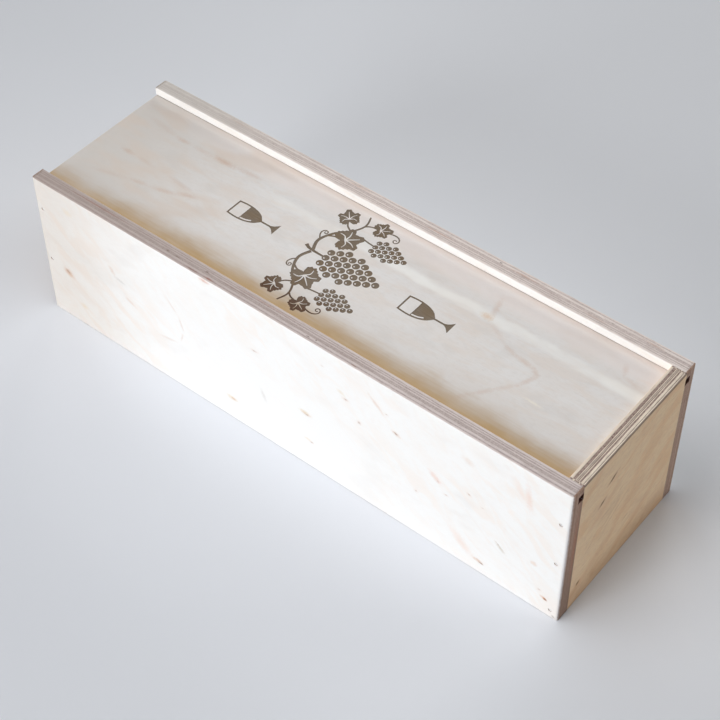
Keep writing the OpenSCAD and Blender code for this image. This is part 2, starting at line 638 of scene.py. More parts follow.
class Graph:
    """Short calls for the nodes of a material or world. Most return a Value."""

    def __init__(self, owner):
        owner.use_nodes = True
        self.owner, self.tree = owner, owner.node_tree

    def coordinate(self, kind):
        return self.node("ShaderNodeTexCoord", {}, kind)

    def node(self, kind, inputs, output=0, **settings):
        """A new node with its settings, and its inputs by name or number. Returns one output."""
        node = self.tree.nodes.new(kind)
        for key, value in settings.items():
            setattr(node, key, value)
        for key, value in inputs.items():
            self.feed(node.inputs[key], value)
        return Value(self, node.outputs[output])

    def feed(self, socket, value):
        if isinstance(value, Value):
            self.tree.links.new(value.socket, socket)
        elif socket.type == "RGBA":
            socket.default_value = (*value, 1)
        else:
            socket.default_value = value

    def math(self, operation, a, b=0):
        return self.node("ShaderNodeMath", {0: a, 1: b}, operation=operation)

    def split(self, vector):
        x = self.node("ShaderNodeSeparateXYZ", {0: vector})
        return [Value(self, socket) for socket in x.socket.node.outputs]

    def millimetres(self):
        """X, Y and Z of the shaded point, in millimetres."""
        return [c * (1 / MM) for c in self.split(self.coordinate("Object"))]

    def noise(self, x, y, z, detail=2, roughness=0.5, warp=0):
        """Noise between 0 and 1, at coordinates that are already scaled."""
        at = self.node("ShaderNodeCombineXYZ", {0: x, 1: y, 2: z})
        return self.node("ShaderNodeTexNoise", {
            "Vector": at, "Scale": 1, "Detail": detail, "Roughness": roughness, "Distortion": warp})

    def span(self, value, low, high, to_low, to_high):
        """to_low where the value is under low, to_high where it is over high, smooth between."""
        inputs = dict(enumerate((value, low, high, to_low, to_high)))
        return self.node("ShaderNodeMapRange", inputs, interpolation_type="SMOOTHSTEP")

    def rise(self, value, low, high, strength=1):
        """0 where the value is under low, rising to the strength at high."""
        return self.span(value, low, high, 0, strength)

    def fade(self, value, low, high, strength=1):
        """The strength where the value is under low, falling to 0 at high."""
        return self.span(value, low, high, strength, 0)

    def layered(self, colour, *layers):
        """A colour under layers of other tones, each given as its strength and its tone."""
        for strength, tone in layers:
            colour = self.mix(strength, colour, tone)
        return colour

    def ramp(self, value, total, stops, interpolation="LINEAR"):
        """Greys at stops between 0 and a total, read at a value."""
        shade = self.node("ShaderNodeValToRGB", {0: value * (1 / total)})
        ramp = shade.socket.node.color_ramp
        ramp.interpolation = interpolation
        while len(ramp.elements) < len(stops):
            ramp.elements.new(0.5)
        for element, (at, grey) in zip(ramp.elements, stops):
            element.position = at / total
            element.color = (grey, grey, grey, 1)
        return shade

    def mix(self, factor, a, b, blend="MIX"):
        """Colour a, and b where the factor is 1."""
        return self.node("ShaderNodeMix", {0: factor, 6: a, 7: b}, 2, data_type="RGBA", blend_type=blend)

    def bump(self, height, distance, strength):
        return self.node("ShaderNodeBump", {"Height": height, "Strength": strength, "Distance": distance})

    def finish(self, colour, roughness, specular, normal=None, metallic=0):
        """Feeds a material's shader, and returns the material."""
        shader = self.tree.nodes["Principled BSDF"].inputs
        self.feed(shader["Base Color"], colour)
        self.feed(shader["Roughness"], roughness)
        self.feed(shader["Specular IOR Level"], specular)
        self.feed(shader["Metallic"], metallic)
        if normal:
            self.feed(shader["Normal"], normal)
        return self.owner


def material(name):
    """The node graph of a new material."""
    return Graph(bpy.data.materials.new(name))


def rgb(*levels):
    """A colour for the shader, from its red, green and blue on screen: 0 to 255, and none near 0."""
    return tuple(((level / 255 + 0.055) / 1.055) ** 2.4 for level in levels)


# Tones of marks in bare sanded birch, then of shade painted into the grooves and by the lid's front lip
GREY = rgb(196, 190, 184)
HONEY = rgb(226, 203, 164)
KNOT = rgb(138, 86, 46)
SLIT = rgb(84, 56, 40)
STAIN = rgb(206, 160, 124)
STREAK = rgb(196, 150, 116)
# Painted shade in the grooves: its tone and strength
GROOVE_PAINTED_SHADE = rgb(92, 50, 36)
GROOVE_SHADE_STRENGTH = 0.95
# Painted shade: the front lip's warm shadow on the lid
LIP_SHADE = rgb(190, 160, 118)

# Colours of a sanded veneer: its ground, and the pink, the grey and the growth lines in it
FaceTones = namedtuple("FaceTones", "ground pink grey line")

# Each panel's tones are set for the light it gets: the front's near-white ground and the back's whiter
# ground partly stand in for strong light on them, painted light; the closed end's tan is partly the veneer's
# own tone and partly painted warm shade.
FRONT_TONES = FaceTones(rgb(250, 249, 247), rgb(248, 239, 231), rgb(240, 237, 234), rgb(228, 206, 190))
BACK_TONES = FaceTones(rgb(253, 252, 250), rgb(250, 244, 237), rgb(240, 239, 238), rgb(226, 206, 190))
LID_TONES = FaceTones(rgb(235, 233, 232), rgb(231, 221, 213), rgb(222, 219, 217), rgb(210, 188, 170))
END_TONES = FaceTones(rgb(255, 227, 190), rgb(246, 202, 156), rgb(240, 208, 176), rgb(174, 122, 84))
INSIDE_TONES = FaceTones(rgb(240, 233, 222), rgb(236, 220, 204), rgb(226, 221, 213), rgb(206, 180, 156))

# ---- marks in the wood, with a few painted shades and highlights ----
# Places and sizes are in millimetres. A row of a face's marks holds two distances from the face's
# own corner, length, height, lean in degrees, tone, strength, and how much of the mark is even
# before it fades, from 0 to 1.

FAR, NEAR, RIM, HALF = FAR_X / MM, NEAR_X / MM, RIM_Z / MM, HALF_W / MM

Mark = namedtuple("Mark", "centre size tilt tone strength edge")

# A face: the axis it looks along, its level there, the corner that its distances run from, which way
# its marks lean, and how far they reach through it
Face = namedtuple("Face", "axis level corner lean depth", defaults=(1, 1))

FRONT = Face(Y, -HALF, (FAR, RIM))
BACK = Face(Y, HALF, (FAR, RIM))
LOW_END = Face(X, FAR, (-HALF, RIM))
CLOSED_END = Face(X, NEAR, (-HALF, RIM))
LID_TOP = Face(Z, LID_HI.z / MM, (FAR, HALF), -1)
RIMS = Face(Z, RIM, (FAR, 0), 1, 0.6)


def marks_on(face, *rows):
    """Ellipsoids of colour, centred in a face."""
    found = []
    for right, down, length, height, lean, tone, strength, *edge in rows:
        centre = placed(face.axis, face.corner[0] + right, face.corner[1] - down, face.level)
        size = placed(face.axis, 0.5 * length, 0.5 * height, face.depth)
        tilt = placed(face.axis, 0, 0, math.radians(face.lean * lean))
        found.append(Mark(centre, size, tilt, tone, strength, *(edge or [0])))
    return found


def knot(along, below, length, strength, lean=0, slender=0.45):
    """Two rows for a pin knot in a long face: a dark core in a soft stain."""
    height = max(0.9, slender * length)
    stain = (along, below, 2.2 * length, 2.4 * height, lean, STAIN, 0.45 * strength)
    return stain, (along, below, length, height, lean, KNOT, 0.85 * strength)


def slit(across, below, length, lean):
    """Two rows for a dark open slit in the closed end's face, in a brown stain."""
    stain = (across, below, 2 * length, 4.2, lean, rgb(182, 112, 56), 0.6)
    return stain, (across, below, length, 1.5, lean, SLIT, 0.9, 0.3)


def streak(along, across, length, turn, strength, width=2.6):
    """A row for a brown growth line in the lid's face."""
    return along, across, 1.5 * length, 1.9 * width, turn, STREAK, 0.62 * strength


FRONT_MARKS_AND_FOOT_SHADE = marks_on(
    FRONT,
    *knot(17.6, 63.6, 5.6, 0.66, lean=28, slender=0.7),
    (18.6, 64.8, 13, 7, 28, STAIN, 0.45),
    (25.6, 12.8, 11, 7, 6, HONEY, 0.28),
    (27, 86.6, 9, 6, 0, HONEY, 0.35),
    (56.7, 39, 10, 4.5, 62, STAIN, 0.3),
    (62.1, 43.6, 13, 3.6, 12, GREY, 0.4),
    (68.4, 56.5, 14, 3.6, 24, STAIN, 0.25),
    (102.5, 38.2, 15, 2, 52, STREAK, 0.2),
    (108.6, 49.5, 15, 2.2, 74, STREAK, 0.26),
    (108, 60, 12, 2.2, 108, STREAK, 0.24),
    (97, 68, 22, 3, 168, STAIN, 0.2),
    (130, 1.6, 10, 3.4, 0, rgb(214, 156, 128), 0.62),
    *knot(163.2, 33.8, 4.4, 0.4, slender=0.3),
    (167.8, 66.2, 15, 4, 70, GREY, 0.3),
    (143.5, 85.7, 12, 5, 0, HONEY, 0.55),
    (144.5, 86, 6, 2, 10, STAIN, 0.5),
    (197.6, 59.2, 11, 4.4, 0, HONEY, 0.6),
    *knot(198.8, 60.2, 4.2, 0.5, slender=0.35),
    (199, 80.5, 9, 3, 0, HONEY, 0.35),
    *knot(201.6, 81.4, 2.4, 0.55),
    *knot(210.9, 13, 2.2, 0.22),
    (223, 25, 9, 4, 20, HONEY, 0.35),
    *knot(226.2, 28.4, 3.6, 0.5),
    *knot(235, 40.4, 2.6, 0.48, slender=0.8),
    (246.2, 17.9, 22, 3.4, 44, STAIN, 0.3),
    *knot(253, 20.8, 2.2, 0.38),
    *knot(259, 31.5, 4.2, 0.8, lean=20, slender=0.42),
    (284.6, 47, 14, 6, 36, rgb(232, 184, 164), 0.45),
    *knot(286.4, 48.8, 2.4, 0.34, lean=20),
    *knot(272.8, 67.3, 1.9, 0.34, slender=0.9),
    *knot(292.1, 55.8, 2.2, 0.42),
    *knot(306, 44.2, 2.8, 0.45, lean=25),
    (304.2, 19.1, 12, 7, 20, STAIN, 0.2),
    *knot(314.8, 48.4, 2, 0.24),
    (327.1, 71.7, 13, 3, 41, rgb(186, 168, 140), 0.45),
    (325.4, 69.6, 5, 1.1, 41, KNOT, 0.3),
    (303.3, 86.8, 32, 10, 44, rgb(238, 210, 194), 0.4),
    (314.2, 93.4, 10, 4, 8, STAIN, 0.6),
    (316.2, 94.3, 5, 1.6, 8, KNOT, 0.75),
    # painted shade: a grey patch at the foot of the near corner
    (362.4, 101.2, 3.6, 2.4, 30, rgb(150, 140, 132), 0.6),
    (347.4, 67.3, 5.6, 4.6, 0, rgb(216, 174, 140), 0.45, 0.1),
    (347.4, 67.3, 2.8, 2.2, 0, rgb(246, 236, 226), 0.5, 0.2),
    *knot(352.2, 85.6, 2.4, 0.36),
    (355.6, 90.4, 6.2, 3.2, 18, rgb(210, 140, 86), 0.75),
    (356.4, 90.8, 2.8, 1.5, 18, KNOT, 0.95, 0.1),
    (341, 20, 30, 6, 80, rgb(236, 196, 176), 0.36),
    (336, 18, 26, 6, 64, rgb(240, 206, 188), 0.24),
)
CLOSED_END_MARKS = marks_on(
    CLOSED_END,
    *slit(37.5, 21.5, 8, 30),
    *slit(30, 34, 6, 32),
    *slit(16.2, 86.6, 3.4, 34),
    (58, 60, 50, 20, 24, rgb(222, 166, 116), 0.28),
    (78, 34, 36, 14, 30, rgb(222, 168, 118), 0.26),
    (36, 78, 46, 12, 28, rgb(212, 152, 104), 0.28),
    (48, 40, 9, 1.4, 30, rgb(170, 110, 70), 0.4),
    (66, 50, 12, 1.2, 32, rgb(170, 110, 70), 0.34),
    (24, 62, 8, 1.2, 30, rgb(160, 100, 64), 0.36),
    (58, 74, 12, 1.4, 28, rgb(160, 100, 64), 0.34),
    (88, 56, 10, 1.4, 34, rgb(160, 100, 64), 0.34),
)
LID_MARKS = marks_on(
    LID_TOP,
    streak(22, 56, 9, 2, 0.42),
    streak(36.8, 56.5, 14, 4, 0.22),
    streak(45.4, 71.6, 12, -10, 0.34),
    streak(62.3, 68.1, 16, -14, 0.4),
    streak(74.7, 63, 13, -14, 0.46),
    streak(64.6, 58.3, 17, 6, 0.34),
    streak(41.2, 29.8, 9.5, -2, 0.45),
    streak(55.7, 29.6, 15, 0, 0.24),
    streak(72.3, 29, 18, 0, 0.62, 3.2),
    streak(90.5, 27.7, 18, -4, 0.42, 3),
    streak(24, 27.6, 24, 8, 0.22, 3.4),
    streak(27.4, 76.2, 26, -14, 0.2),
    streak(261.1, 27.8, 16, 76, 0.4, 3),
    (260.4, 34.8, 11, 7, 0, rgb(222, 184, 142), 0.5),
    streak(271.3, 40.8, 19, 30, 0.22),
    streak(283.8, 46.9, 9, 17, 0.36),
    streak(294, 49, 13, 8, 0.42),
    streak(302.7, 51.7, 7, 40, 0.38),
    streak(302.8, 58.7, 12, 112, 0.42),
    streak(297.1, 68.4, 12, 128, 0.26),
    streak(289.6, 78.2, 13, 128, 0.34),
    streak(282.8, 87.2, 10, 128, 0.24),
    streak(337.4, 21.9, 8.5, 66, 0.3),
    streak(344.9, 27.2, 11, 13, 0.26),
    (313.5, 68.9, 17, 2.6, 3, rgb(250, 244, 232), 0.55),
)
FRONT_RIM_MARKS = marks_on(
    RIMS,
    (200, 52.6, 3.4, 0.8, 0, SLIT, 0.75, 0.3),
    (205, 52.2, 1.6, 0.9, 0, SLIT, 0.7, 0.3),
    (132, 53.4, 9, 1.8, 0, rgb(150, 84, 62), 0.7, 0.1),
    (128, 50, 3, 1.2, 0, SLIT, 0.5, 0.3),
    (231, 53.8, 5, 1.2, 0, KNOT, 0.5, 0.2),
    (168, 48.4, 60, 1, 0, rgb(196, 140, 112), 0.35),
    (47, 49, 56, 2.6, 0, rgb(150, 104, 88), 0.45),
    (100.5, 51, 4, 1.6, 0, SLIT, 0.55),
    (108, 51.2, 5, 1.2, 0, SLIT, 0.45),
    (121, 53.6, 13, 2, 0, rgb(120, 72, 54), 0.55),
    (148, 50.4, 36, 1, 0, rgb(134, 100, 88), 0.45),
)
# The front panel's near end edge: a reddish mark by the joint, and a painted highlight down its rounded
# outer corner.
NEAR_STRIP_MARK_AND_HIGHLIGHT = [
    Mark((NEAR, -48.2, 58), (1.2, 2.4, 44), (0, 0, 0), rgb(184, 122, 96), 0.55, 0),
    Mark((NEAR, -54.7, 50), (1.8, 1.5, 90), (0, 0, 0), rgb(238, 234, 234), 0.8, 0.2),
]
BACK_FACE_MARKS = marks_on(
    BACK,
    *knot(52, 66, 4.6, 0.7, lean=-20),
    *knot(88, 40, 2.6, 0.5),
    (120, 22, 15, 5, -18, HONEY, 0.45),
    *knot(149, 72, 3.2, 0.6, lean=-15),
    *knot(173, 30, 2.2, 0.4),
    (204, 52, 16, 3.2, -30, GREY, 0.45),
    *knot(233, 60, 3.6, 0.55, lean=-24),
    *knot(257, 21, 2.4, 0.5),
    (283, 84, 20, 6, -24, STAIN, 0.3),
    *knot(301, 77, 4.2, 0.75, lean=-20, slender=0.38),
    *knot(331, 46, 2, 0.4),
)
LOW_END_MARKS = marks_on(
    LOW_END,
    (34, 38, 9, 5, 0, STAIN, 0.5),
    (34.5, 38.4, 3.8, 2, 0, KNOT, 0.75),
    (71, 70, 6, 1.6, 0, SLIT, 0.6),
    (79, 29, 3, 1.8, 0, KNOT, 0.6),
    (56, 84, 30, 7, 0, rgb(216, 150, 104), 0.35),
)
BACK_RIM_MARKS = marks_on(
    RIMS,
    (246, -52.4, 2.2, 1, 0, SLIT, 0.8, 0.3),
    (88, -50.6, 1.6, 0.8, 0, SLIT, 0.45, 0.3),
    (317, -51.8, 2.4, 0.7, 0, SLIT, 0.4, 0.3),
    (62, -52.4, 34, 1.8, 0, rgb(176, 148, 128), 0.4),
    (150, -52.6, 30, 1.6, 0, rgb(190, 142, 108), 0.38),
    (206, -50.4, 26, 1.6, 0, rgb(196, 144, 106), 0.42),
    (262, -52, 30, 2, 0, rgb(184, 132, 98), 0.42),
    (308, -49.6, 24, 1.4, 0, rgb(190, 146, 118), 0.36),
    (342, -52.2, 18, 1.8, 0, rgb(178, 128, 100), 0.4),
)


def marked(g, colour, marks):
    """Adds small marks, and a few painted shades and highlights, to a surface's colour, with slightly ragged
    edges.
    """
    place = g.coordinate("Object")
    ragged = g.noise(*(c * 900 for c in g.split(place)))
    for m in marks:
        turn = {"Vector": place, "Center": [c * MM for c in m.centre], "Rotation": m.tilt}
        turned = g.node("ShaderNodeVectorRotate", turn, rotation_type="EULER_XYZ", invert=True)
        scale = [1 / (size * MM) for size in m.size]
        shift = [-c / size for c, size in zip(m.centre, m.size)]
        scaled = g.node("ShaderNodeVectorMath", {0: turned, 1: scale, 2: shift}, operation="MULTIPLY_ADD")
        length = g.node("ShaderNodeVectorMath", {0: scaled}, "Value", operation="LENGTH")
        reach = length + (ragged - 0.5) * 0.7
        colour = g.mix(g.fade(reach, m.edge, 1, m.strength), colour, m.tone)
    return colour


# The figure of a veneer: how far its flames lean from the grain, and how strongly its flames, growth
# lines and fibres show. fineness makes the flames smaller, and shortness makes them shorter alone.
# patchy is how much of the flames fades away in places.
Figure = namedtuple("Figure", "lean flames lines fibres fineness shortness patchy", defaults=(1, 1, 0))


def leaned(along, across, degrees):
    """Coordinates along and across a direction that lies at an angle to the grain."""
    c, s = math.cos(math.radians(degrees)), math.sin(math.radians(degrees))
    return along * c + across * s, across * c - along * s


def veneer(g, along, across, seed, tones, figure):
    """Colour and height of a sanded face of rotary-cut birch, its grain running along.

    The factors beside the coordinates are features for each millimetre."""
    fine, fibres = figure.fineness, figure.fibres
    u, v = leaned(along, across, figure.lean)
    cloud = g.noise(along * (0.02 * fine), across * (0.04 * fine), seed, 3, 0.55)
    flame = g.noise(u * (0.016 * fine * figure.shortness), v * (0.08 * fine), seed + 11, 3, 0.55, 0.6)
    mottle = g.noise(u * (0.1 * fine), v * (0.16 * fine), seed + 14, 3, 0.6)
    drift = g.noise(u * (0.011 * fine), v * (0.036 * fine), seed + 5, 1.5)
    ring = g.fade(g.math("ABSOLUTE", g.math("FRACT", drift * 8) - 0.5), 0, 0.26)
    patch = g.rise(g.noise(along * 0.017, across * 0.03, seed + 7), 0.48, 0.66)
    speck = g.noise(along * 0.3, across * 0.5, seed + 17, 2, 0.6)
    fibre = g.noise(along * 0.07, across * 1.7, seed + 2, 3, 0.62)
    pores = g.rise(g.noise(along * 0.3, across * 3.2, seed + 3, 1), 0.64, 0.8)
    kept = g.noise(along * 0.01, across * 0.018, seed + 23)
    kept = g.span(kept, 0.4, 0.6, 1 - figure.patchy, 1)
    colour = g.layered(
        tones.ground,
        (g.rise(flame, 0.46, 0.64, figure.flames) * kept, tones.pink),
        (g.rise(mottle, 0.48, 0.72, 0.45 * figure.flames), tones.pink),
        (g.fade(cloud, 0.3, 0.46, 0.55), tones.grey),
        (g.rise(speck, 0.48, 0.7, 3 * fibres), tones.grey),
        (ring * patch * figure.lines, tones.line),
        (g.rise(fibre, 0.3, 0.72, fibres), tones.line),
        (pores * (1.8 * fibres), tones.line),
    )
    return colour, fibre * 0.7 - pores * 0.5


def layer_map(g, depth, veneers):
    """For each depth in millimetres: 1 in veneers whose grain runs with the face's, else 0."""
    starts = [0] + [t / MM for t in joints(veneers)]
    stops = [(start, with_grain) for start, (_, with_grain) in zip(starts, veneers)]
    return g.ramp(depth, thickness_of(veneers) / MM, stops, "CONSTANT")


def glue_map(g, depth, veneers):
    """For each depth in millimetres: 1 in a glue line, falling to 0 beside it."""
    stops = [(0, 0)]
    for at in (t / MM for t in joints(veneers)):
        stops += [(at - GLUE_SHADE, 0), (at, 1), (at + GLUE_SHADE, 0)]
    return g.ramp(depth, thickness_of(veneers) / MM, stops)


# Colours of a sawn plywood edge: veneers seen along their grain, across it, and the glue. contrast is
# how strongly the layers show. end_tint multiplies the edges where the saw cut across the face grain.
EdgeTones = namedtuple("EdgeTones", "along across glue contrast end_tint", defaults=((1, 1, 1),))

FRONT_EDGES = EdgeTones(rgb(226, 215, 213), rgb(207, 194, 191), rgb(146, 124, 118), 0.46, (0.84, 0.63, 0.49))
BACK_EDGES = EdgeTones(rgb(241, 231, 226), rgb(225, 212, 207), rgb(160, 138, 132), 0.42, (0.7, 0.54, 0.44))
END_EDGES = EdgeTones(rgb(250, 236, 218), rgb(190, 168, 157), rgb(104, 80, 72), 0.7)
LID_EDGES = EdgeTones(rgb(230, 216, 198), rgb(196, 176, 158), rgb(140, 116, 98), 0.5)
GLUE_SHADE = 0.16


def sawn_edge(g, depth, veneers, run, shows_ends, tones, seed):
    """Colour and height of a plywood edge. shows_ends is 1 where the face grain is cut across."""
    long_grain = g.math("ABSOLUTE", layer_map(g, depth, veneers) - shows_ends)
    glue = glue_map(g, depth, veneers)
    dashes = g.noise(run * 0.85, depth * 3.4, seed, 2, 0.6)
    fibres = g.noise(run * 0.1, depth * 4.2, seed + 3, 3, 0.6)
    blotch = g.noise(run * 0.16, depth * 0.9, seed + 12, 3, 0.6)
    dirt = g.noise(run * 0.035, depth * 0.35, seed + 6, 3)
    broken = g.span(g.noise(run * 0.12, depth * 0.8, seed + 9), 0.32, 0.55, 0.25, 1)
    smooth_wood = g.mix(g.rise(fibres, 0.3, 0.75, 0.45), tones.along, tones.across)
    end_wood = g.mix(g.rise(dashes, 0.4, 0.66, 1.4 * tones.contrast), tones.across, tones.glue)
    colour = g.layered(
        g.mix(long_grain, end_wood, smooth_wood),
        (glue * broken * tones.contrast, tones.glue),
        (g.rise(blotch, 0.46, 0.72, 0.3), tones.glue),
        (g.rise(dirt, 0.42, 0.72, 0.18), tones.glue),
    )
    colour = g.mix(shows_ends, colour, tones.end_tint, "MULTIPLY")
    return colour, dashes * (1 - long_grain) - glue * 0.6


# How a panel's plywood lies: the axes of its thickness, its grain and the one across, its outer
# face, and which way is inwards from there
Panel = namedtuple("Panel", "thickness grain across outer inwards grooved", defaults=(False,))


def plywood(name, panel, veneers, tones, figure, edges, seed, marks=(), shades=None):
    """Plywood whose faces show veneer and whose sawn edges show its layers.

    shades takes the graph, the colour, the place in millimetres, and 1 on faces and 0 on edges."""
    g = material(name)
    place = g.millimetres()
    facing = [g.math("ABSOLUTE", c) for c in g.split(g.coordinate("Normal"))]
    along, across = place[panel.grain], place[panel.across]
    depth = (place[panel.thickness] - panel.outer / MM) * float(panel.inwards)
    face, face_height = veneer(g, along, across, seed, tones, figure)
    is_end = g.rise(facing[panel.grain], 0.45, 0.55)
    run = along * (1 - is_end) + across * is_end
    edge, edge_height = sawn_edge(g, depth, veneers, run, is_end, edges, seed)
    on_face = g.rise(facing[panel.thickness], 0.62, 0.8)
    colour = g.mix(on_face, edge, face)
    if shades:
        colour = shades(g, colour, place, on_face)
    if panel.grooved:
        colour = groove_shade(g, colour, place)
    colour = marked(g, colour, marks)
    height = face_height * on_face + edge_height * 2.2 * (1 - on_face)
    roughness = g.span(face_height, 0, 0.8, 0.74, 0.58)
    return g.finish(colour, roughness, 0.25, g.bump(height, 0.06 * MM, 0.7))


def within(g, value, low, high, soft=0.15):
    """1 where a value lies between two limits, else 0."""
    return g.rise(value, low - soft, low + soft) * g.fade(value, high - soft, high + soft)


def groove_shade(g, colour, place):
    """The milled groove is painted darker than the faces: painted shade in the recess."""
    _, y, z = place
    inner, margin = (HALF_W - WALL) / MM, 0.2
    across = within(g, g.math("ABSOLUTE", y), inner + margin, inner + GROOVE_DEPTH / MM + margin)
    upright = within(g, z, LID_LO.z / MM - margin, (LID_HI.z + GROOVE_PLAY) / MM + margin)
    return g.mix(across * upright * GROOVE_SHADE_STRENGTH, colour, GROOVE_PAINTED_SHADE)


def front_shades(g, colour, place, on_face):
    """The front panel is greyer and darker towards its far end, with a painted highlight in its lower middle
    and painted shade on its near end edge, strongest at the foot.
    """
    x, _, z = place
    on_edge = 1 - on_face
    # Painted highlight: the lower middle of the face is painted paler, for the strongest light there.
    pale = g.fade(g.math("ABSOLUTE", x + 5), 20, 110, 0.65)
    pale = pale * g.span(z, 35, 85, 1, 0.2) * on_face
    colour = g.mix(pale, colour, rgb(251, 250, 248))
    # darker and greyer towards the far end
    far_darkening = g.fade(x + g.noise(x * 0.02, z * 0.03, 6) * 50, -150, -55) * on_face
    colour = g.mix(far_darkening, colour, rgb(235, 230, 225), "MULTIPLY")
    rim = g.rise(z, RIM - 1, RIM - 0.5) * on_edge
    # Painted shade: the near end's sawn edge is darker towards the foot.
    near_end = g.rise(x, NEAR - 1, NEAR - 0.4) * on_edge
    return g.layered(
        colour,
        (rim * g.fade(x, -180, 130, 0.62), rgb(160, 144, 136)),
        (near_end * g.span(z, 12, 62, 0.6, 0.06), rgb(134, 112, 98)),
    )


def back_shades(g, colour, place, on_face):
    """The back panel's rim is greyer towards its far end."""
    x, _, z = place
    rim = g.rise(z, RIM - 1, RIM - 0.5) * (1 - on_face)
    return g.mix(rim * g.fade(x, -180, -30, 0.7), colour, rgb(202, 198, 192))


def end_shades(g, colour, place, on_face):
    """The closed end gets painted shade: darker and browner at its foot, dark along its outer top edge, and
    dark in the grooves.
    """
    x, y, z = place
    groove_side, groove_foot, groove_top = 45.6, 93, 98.4
    # Painted shade along the outer top edge, and in the grooves' ends.
    arris = g.rise(z, RIM - 1.6, RIM - 0.5) * g.rise(x, NEAR - 0.9, NEAR - 0.4)
    in_groove = g.rise(g.math("ABSOLUTE", y), groove_side, groove_side + 0.3)
    in_groove = in_groove * within(g, z, groove_foot, groove_top)
    return g.layered(
        colour,
        (g.fade(z + y * 0.08, 0, 26, 0.4) * on_face, rgb(186, 140, 100)),
        (arris * 0.75, rgb(104, 84, 80)),
        (in_groove * GROOVE_SHADE_STRENGTH, GROOVE_PAINTED_SHADE),
    )


def lid_shades(g, colour, place, on_face):
    """The lid's paler bands along its back half; painted light, then painted shade, towards its back edge;
    darker towards its far end; and a painted warm shadow of the front lip along its front edge.
    """
    x, y, _ = place

    def wander(per_x, per_y, seed, detail, reach):
        """Noise to either side of 0, for borders that wander."""
        return (g.noise(x * per_x, y * per_y, seed, detail) - 0.5) * reach

    sway = (g.noise(x * 0.014, 0, 2) - 0.5) * 5
    from_band = g.math("ABSOLUTE", y + sway + wander(0.05, 0.12, 5, 3, 6) - 21)
    patchy = g.span(g.noise(x * 0.03, y * 0.07, 12), 0.36, 0.62, 0.45, 0.95)
    band = g.fade(from_band, 1, 5) * g.rise(x, -90, -40) * patchy
    far_cloud = g.rise(g.noise(x * 0.024, y * 0.06, 31), 0.44, 0.66) * g.span(x, -90, -50, 0.42, 0.12)
    waves = wander(0.035, 0.05, 9, 3, 13) + g.fade(x, -183, -60, 4)
    uneven = (y + wander(0.05, 0.6, 8, 3, 6)) + waves
    return g.layered(
        colour,
        (band * on_face, rgb(249, 248, 245)),
        # painted light: paler towards the back edge
        (g.rise(y, 26, 36, 0.6) * on_face, rgb(252, 242, 238)),
        # painted shade: darker beside the back wall
        (g.rise(y, 41.5, 45, 0.5) * on_face, rgb(214, 196, 184)),
        (g.fade(x, -183, -60, 0.8) * on_face, rgb(210, 204, 198)),
        (far_cloud * on_face, rgb(222, 203, 187)),
        # painted shade: the front lip's shadow, grey in its tail and warm near the lip
        (g.fade(uneven, -38, -4, 0.4), rgb(216, 211, 207)),
        (g.fade(uneven, -44.5, -24.5), LIP_SHADE),
    )


def char():
    """Wood burnt brown by a laser: grain still shows, painted darker and redder towards the front as the
    front lip's shadow.
    """
    g = material("burnt_wood")
    x, y, _ = g.millimetres()
    grain = g.noise(x * 0.1, y * 2, 0, 3, 0.6)
    cloud = g.noise(x * 0.09, y * 0.09, 3)
    colour = g.layered(
        rgb(122, 109, 95),
        (g.rise(grain, 0.3, 0.7), rgb(141, 128, 113)),
        (g.rise(cloud, 0.44, 0.66, 0.5), rgb(128, 108, 84)),
        # painted shade: the front lip's shadow over the burnt parts
        (g.fade(y, -38, -18, 0.75), rgb(94, 64, 50)),
    )
    return g.finish(colour, 0.85, 0.15, g.bump(grain, 0.08 * MM, 0.7))


def steel():
    """Dull, zinc-plated brad heads."""
    g = material("brad_steel")
    stain = g.noise(*(c * 1.7 for c in g.millimetres()), 3)
    colour = g.mix(g.rise(stain, 0.35, 0.65), rgb(222, 219, 216), rgb(242, 241, 239))
    return g.finish(colour, g.span(stain, 0.3, 0.7, 0.4, 0.65), 0.3, g.bump(stain, 0.1 * MM, 0.3), 0.1)


def front_wood():
    panel = Panel(Y, X, Z, SIDE_LO.y, 1, grooved=True)
    figure = Figure(lean=-40, flames=0.6, lines=0.08, fibres=0.05, fineness=1.15, shortness=1.9, patchy=0.7)
    marks = FRONT_MARKS_AND_FOOT_SHADE + FRONT_RIM_MARKS + NEAR_STRIP_MARK_AND_HIGHLIGHT
    return plywood(
        "front_birch", panel, WALL_VENEERS, FRONT_TONES, figure, FRONT_EDGES, 1, marks, front_shades)


def back_wood():
    panel = Panel(Y, X, Z, HALF_W, -1, grooved=True)
    figure = Figure(lean=-12, flames=0.6, lines=0.2, fibres=0.08)
    marks = BACK_FACE_MARKS + BACK_RIM_MARKS
    return plywood("back_birch", panel, WALL_VENEERS, BACK_TONES, figure, BACK_EDGES, 21, marks, back_shades)


def closed_end_wood():
    panel = Panel(X, Y, Z, NEAR_X, -1)
    figure = Figure(lean=28, flames=0.5, lines=0.22, fibres=0.18, fineness=1.2, shortness=1.5)
    return plywood(
        "closed_end_birch", panel, END_VENEERS, END_TONES, figure, END_EDGES, 41,
        CLOSED_END_MARKS, end_shades)


def low_end_wood():
    panel = Panel(X, Y, Z, FAR_X, 1)
    figure = Figure(lean=10, flames=0.8, lines=0.25, fibres=0.22, fineness=1.4)
    return plywood("low_end_birch", panel, END_VENEERS, END_TONES, figure, END_EDGES, 61, LOW_END_MARKS)


def bottom_wood():
    panel = Panel(Z, X, Y, 0, 1)
    figure = Figure(lean=6, flames=0.6, lines=0.3, fibres=0.16)
    return plywood("bottom_birch", panel, WALL_VENEERS, INSIDE_TONES, figure, BACK_EDGES, 81)


